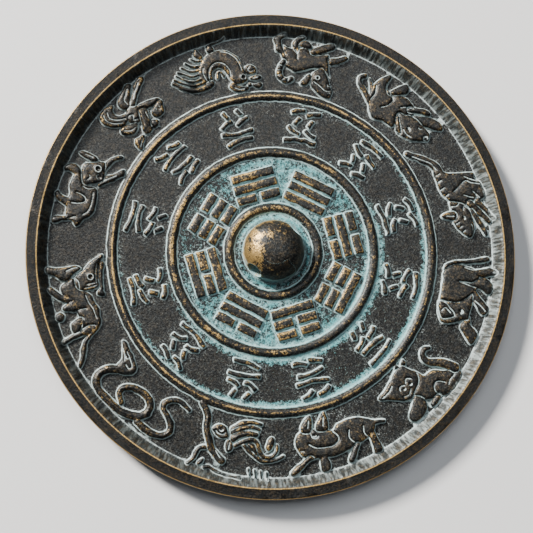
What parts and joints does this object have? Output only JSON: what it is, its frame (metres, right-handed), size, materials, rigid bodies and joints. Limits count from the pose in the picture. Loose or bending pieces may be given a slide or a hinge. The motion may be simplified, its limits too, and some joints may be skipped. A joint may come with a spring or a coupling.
{
  "type": "ancient bronze mirror",
  "caption": "Round cast bronze hand mirror with a raised rim, concentric rings, low relief animals and bars, and a pierced central knob.",
  "frame": {"origin": "centre of the plain face that the mirror lies on", "axes": "+Z out of the decorated back, through the knob; +X to the right and +Y to the top of the pictured back"},
  "size_m": [0.12, 0.12, 0.0098],
  "materials": {
    "dark_bronze": "dark patinated cast bronze, worn bright on edges, with pale blue-green patina in the recesses"
  },
  "bodies": {
    "root": {"mirror": "dark_bronze"}
  },
  "joints": []
}
